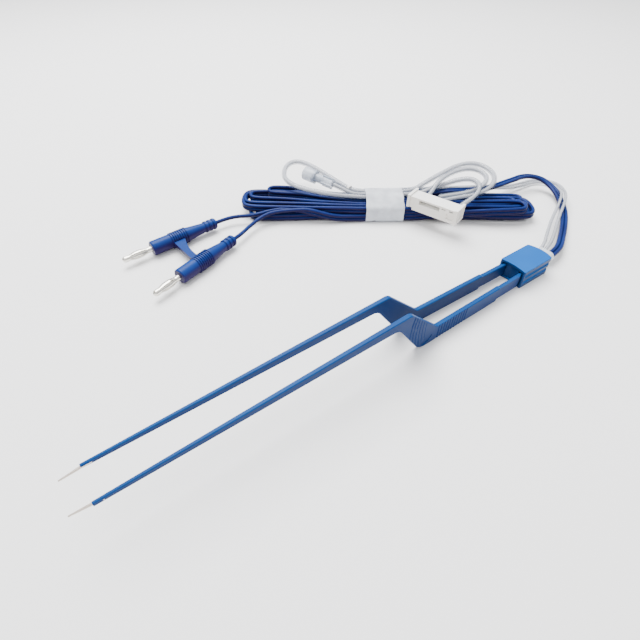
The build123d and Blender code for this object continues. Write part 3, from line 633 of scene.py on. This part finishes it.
tube_exits = {"left": (0.113, 0.0011, 0.0049), "right": (0.113, 0.0031, 0.0049)}
tube_routes = {
    "left_irrigation_lead": [
        tube_exits["left"],
        (0.121, 0.0028, 0.0047),
        (0.1315, 0.0072, 0.0044),
        (0.1447, 0.0139, 0.0044),
        (0.1535, 0.018, 0.0054),
        (0.1635, 0.0224, 0.0063),
        (0.173, 0.0274, 0.0056),
        (0.1815, 0.034, 0.0038),
        (0.1875, 0.042, 0.0022),
        (0.187, 0.0495, 0.0013),
        (0.181, 0.0546, 0.0012),
        (0.171, 0.0562, 0.0012),
    ] + beside([
        (0.081, 0.0286, 0.0024),
        (0.0715, 0.0218, 0.0054),
        (0.0615, 0.0174, 0.0084),
        (0.051, 0.0136, 0.0097),
        (0.04, 0.0133, 0.0096),
        (0.03, 0.0122, 0.0094),
        (0.02, 0.0096, 0.0093),
        (0.0105, 0.0089, 0.0096),
    ]),
    "right_irrigation_lead": [
        tube_exits["right"],
        (0.1195, 0.0048, 0.0048),
        (0.1298, 0.0102, 0.0046),
        (0.1426, 0.0164, 0.0046),
        (0.1528, 0.0206, 0.006),
        (0.163, 0.025, 0.0068),
        (0.1726, 0.0302, 0.006),
        (0.18, 0.0366, 0.0038),
        (0.1846, 0.0436, 0.002),
        (0.1834, 0.049, 0.0013),
        (0.178, 0.0524, 0.0012),
        (0.17, 0.0532, 0.0012),
    ] + beside([
        (0.0819, 0.026, 0.0024),
        (0.0724, 0.0198, 0.0054),
        (0.0622, 0.0155, 0.0084),
        (0.0514, 0.0116, 0.0097),
        (0.04, 0.0113, 0.0096),
        (0.03, 0.0102, 0.0108),
        (0.02, 0.009, 0.011),
        (0.0105, 0.0085, 0.011),
    ]),
    "irrigation_left_loop": beside([
        (-0.0105, 0.0073, 0.0102),
        (-0.017, 0.0073, 0.0104),
        (-0.024, 0.0124, 0.012),
        (-0.0315, 0.02, 0.0134),
        (-0.039, 0.0286, 0.014),
        (-0.0455, 0.0355, 0.014),
        (-0.0515, 0.038, 0.0139),
        (-0.056, 0.034, 0.0137),
        (-0.0578, 0.0256, 0.0135),
        (-0.0568, 0.016, 0.0134),
        (-0.0515, 0.0088, 0.013),
        (-0.043, 0.0046, 0.0124),
        (-0.0335, 0.0026, 0.0115),
        (-0.022, 0.0016, 0.0106),
        (-0.0105, 0.001, 0.0102),
    ]),
    "irrigation_outer_loop": beside([
        (0.0105, 0.0073, 0.0102),
        (0.017, 0.0075, 0.0106),
        (0.025, 0.0124, 0.0132),
        (0.035, 0.0186, 0.0156),
        (0.0445, 0.0254, 0.0168),
        (0.0525, 0.0288, 0.017),
        (0.06, 0.0272, 0.0167),
        (0.0644, 0.0208, 0.016),
        (0.0646, 0.0128, 0.0154),
        (0.061, 0.0056, 0.0146),
        (0.0548, 0.0012, 0.013),
        (0.0474, 0.0002, 0.0113),
        (0.04, 0.0002, 0.0103),
        (0.0315, -0.0026, 0.0099),
    ]),
    "pump_return_tube": beside([
        (0.02136, -0.00418, 0.0103),
        (0.026, 0.00175, 0.012),
        (0.031, 0.0082, 0.0162),
        (0.0382, 0.0152, 0.017),
        (0.046, 0.0206, 0.0169),
        (0.0526, 0.0224, 0.0167),
        (0.058, 0.0202, 0.0162),
        (0.0602, 0.0148, 0.0156),
        (0.0584, 0.009, 0.0148),
        (0.0536, 0.005, 0.0132),
        (0.047, 0.0036, 0.0114),
        (0.04, 0.0036, 0.0103),
        (0.031, 0.0014, 0.0101),
    ]),
    "pump_feed_tube": beside([
        (0.0105, 0.0042, 0.0102),
        (0.019, 0.0043, 0.0103),
        (0.0275, 0.0074, 0.012),
        (0.0355, 0.0106, 0.013),
        (0.043, 0.0114, 0.0152),
        (0.0494, 0.0088, 0.0172),
        (0.0522, 0.0026, 0.0176),
        (0.0508, -0.0038, 0.0162),
        (0.046, -0.0076, 0.0136),
        (0.0404, -0.0098, 0.0112),
        (0.03555, -0.01526, 0.0103),
    ]),
    "connector_branch": beside([
        (0.006, 0.00415, 0.0102),
        (-0.004, 0.00415, 0.0102),
        (-0.0105, 0.00415, 0.0102),
        (-0.0155, 0.00415, 0.0102),
        (-0.02, 0.005, 0.0112),
        (-0.0246, 0.0076, 0.0126),
        (-0.029, 0.0102, 0.0132),
    ]),
}
tube_shape = tube_tree()
for name, places in tube_routes.items():
    diameter = lead_diameter if name.endswith("lead") else tube_diameter
    line = route_curve(f"{name}_clear", places)
    path = line_of(line)
    sizes = {"Radius": diameter / 2, "Bore": bore_share * diameter / 2}
    sizes.update({"Material": tube_finish, "Core": core_finish})
    tube = grow(line, tube_shape, sizes)
    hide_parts(name)
    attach(tube, "housing")
    ["fluid_connector", "connector_cap"] if name == "connector_branch" else []

# Tubing under the band.
# The three strands of wide tube that the band holds side by side on top of the cord.

bundle_strands = (0.0073, 0.0042, 0.001)
bundle_level = 0.0102

bundle_mesh = bpy.data.meshes.new("banded_tubing")
shape = bmesh.new()
for across in bundle_strands:
    start, end = beside([(-band_half_width, across, bundle_level), (band_half_width, across, bundle_level)])
    along = Vector(end) - Vector(start)
    turn = along.to_track_quat("Z", "Y").to_matrix().to_4x4()
    place = Matrix.Translation((Vector(start) + Vector(end)) / 2) @ turn
    bmesh.ops.create_cone(
        shape, cap_ends=True, segments=16, radius1=tube_diameter / 2, radius2=tube_diameter / 2,
        depth=along.length, matrix=place,
    )
shape.to_mesh(bundle_mesh)
shape.free()
bundle_mesh.materials.append(tube_finish)
bundle = bpy.data.objects.new("banded_tubing", bundle_mesh)
bpy.context.scene.collection.objects.link(bundle)
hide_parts("irrigation_bundle")
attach(bundle, "housing")

# Paper band.
# A strip of soft white paper wrapped tightly round the cord and tubing, bulged by the strands inside
# and a little crumpled, with its end pasted down at the front.

band_outline = [
    (-0.0097, 0.0001),
    (0.0, 0.0001),
    (0.0104, 0.0001),
    (0.0106, 0.0089),
    (0.0094, 0.0122),
    (0.004, 0.0123),
    (-0.0018, 0.012),
    (-0.0097, 0.0088),
]
band_columns = 28
band_steps = 96
band_corner = 0.0022
band_crease = 0.00038
band_ragged_edge = 0.0003
band_lowest = 0.0001
paper_thickness = 0.00022
paper_colour = (0.46, 0.48, 0.53, 1)
paper_pale = (0.60, 0.63, 0.68, 1)


def rounded_ring(corners, radius, count):
    """Evenly spaced points round a closed outline with rounded corners."""
    places = [Vector(corner) for corner in corners]
    ring = []
    for before, corner, after in zip(places[-1:] + places[:-1], places, places[1:] + places[:1]):
        back = (before - corner).normalized() * min(radius, 0.45 * (before - corner).length)
        ahead = (after - corner).normalized() * min(radius, 0.45 * (after - corner).length)
        for step in range(7):
            share = step / 6
            ring.append(corner + back * (1 - share) ** 2 + ahead * share ** 2)
    lengths = [(b - a).length for a, b in zip(ring, ring[1:] + ring[:1])]
    total = sum(lengths)
    even = []
    for index in range(count):
        distance = total * index / count
        spot = 0
        while distance > lengths[spot]:
            distance -= lengths[spot]
            spot += 1
        even.append(ring[spot].lerp(ring[(spot + 1) % len(ring)], distance / lengths[spot]))
    return even


def crumple(across, level, along):
    """How far the paper stands in or out at one place."""
    place = Vector((along * 130, across * 160, level * 160))
    return band_crease * (noise.noise(place) + 0.5 * noise.noise(place * 2.7))


band_mesh = bpy.data.meshes.new("paper_wrap")
shape = bmesh.new()
ring = rounded_ring(band_outline, band_corner, band_steps)
centre = Vector((sum(spot.x for spot in ring), sum(spot.y for spot in ring))) / len(ring)
rows = []
for column in range(band_columns + 1):
    along = band_half_width * (2 * column / band_columns - 1)
    row = []
    for spot in ring:
        inward = (centre - spot).normalized()
        place = spot + inward * (abs(crumple(spot.x, spot.y, along)) + band_crease * 0.3)
        ragged = 0
        if column in (0, band_columns):
            ragged = band_ragged_edge * noise.noise(Vector((spot.x * 300, spot.y * 300, column)))
        row.append(shape.verts.new(beside([(along + ragged, place.x, max(place.y, band_lowest))])[0]))
    rows.append(row)
for row, following in zip(rows, rows[1:]):
    for index in range(band_steps):
        after = (index + 1) % band_steps
        shape.faces.new((row[index], row[after], following[after], following[index]))
bmesh.ops.recalc_face_normals(shape, faces=shape.faces)
for face in shape.faces:
    face.smooth = True
shape.to_mesh(band_mesh)
shape.free()
band = bpy.data.objects.new("paper_wrap", band_mesh)
bpy.context.scene.collection.objects.link(band)
wall = band.modifiers.new("wall", "SOLIDIFY")
wall.thickness = paper_thickness
wall.offset = -1.0
paper_finish, paper_shader, paper_place = new_finish("soft_paper")
fibre = paper_place.noise(1500.0, 5.0)
cloud = paper_place.noise(160.0, 3.0)
feed(paper_shader, "Base Color", cloud.smooth_step(0.3, 0.7).mix(paper_colour, paper_pale))
feed(paper_shader, "Roughness", 0.8 + 0.15 * fibre)
feed(paper_shader, "Normal", paper_place.node(
    "ShaderNodeBump", {}, {"Strength": 0.6, "Distance": 0.0001, "Height": fibre + cloud}
))
band_mesh.materials.append(paper_finish)
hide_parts("paper_band")
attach(band, "housing")

# Pump cassette.
# White moulded tray that clips into the pump, with a soft tube across its open channel.

cassette_white = (0.88, 0.88, 0.86, 1)
cassette_pale = (0.93, 0.93, 0.92, 1)
# Painted shade: the beige below is laid on the cassette's and collar's upright and downward faces.
cassette_painted_shade_beige = (0.80, 0.76, 0.70, 1)
cassette_roughness = 0.28
cassette_grain = 1500.0
cassette_grain_depth = 0.00002
segment_colour = (0.74, 0.72, 0.64, 1)
segment_pale = (0.84, 0.82, 0.74, 1)
segment_milk = 400.0

cassette_finish = moulded_finish(
    "white_cassette", cassette_white, cassette_pale, cassette_painted_shade_beige, cassette_roughness, cassette_grain,
    cassette_grain_depth,
)
dress("pump_cassette", cassette_finish)
segment_finish, segment_shader, segment_place = new_finish("soft_segment", Roughness=0.3)
milk = segment_place.noise(segment_milk)
feed(segment_shader, "Base Color", milk.mix(segment_colour, segment_pale))
dress("pump_segment", segment_finish)

# Connector, cap and collar.
# Clear hard mouldings: a winged female connector closed by a cap, and a small white collar that
# marks the left loop.

connector_tint = (0.34, 0.40, 0.50, 1)
connector_pale = (0.62, 0.67, 0.75, 1)
connector_cloud = 350.0

connector_finish, connector_shader, connector_place = new_finish(
    "clear_connector", Roughness=0.08, Alpha=0.62,
)
tint = connector_place.noise(connector_cloud)
feed(connector_shader, "Base Color", tint.mix(connector_tint, connector_pale))
dress("fluid_connector", connector_finish)
dress("connector_cap", connector_finish)
dress("tube_collar", cassette_finish)
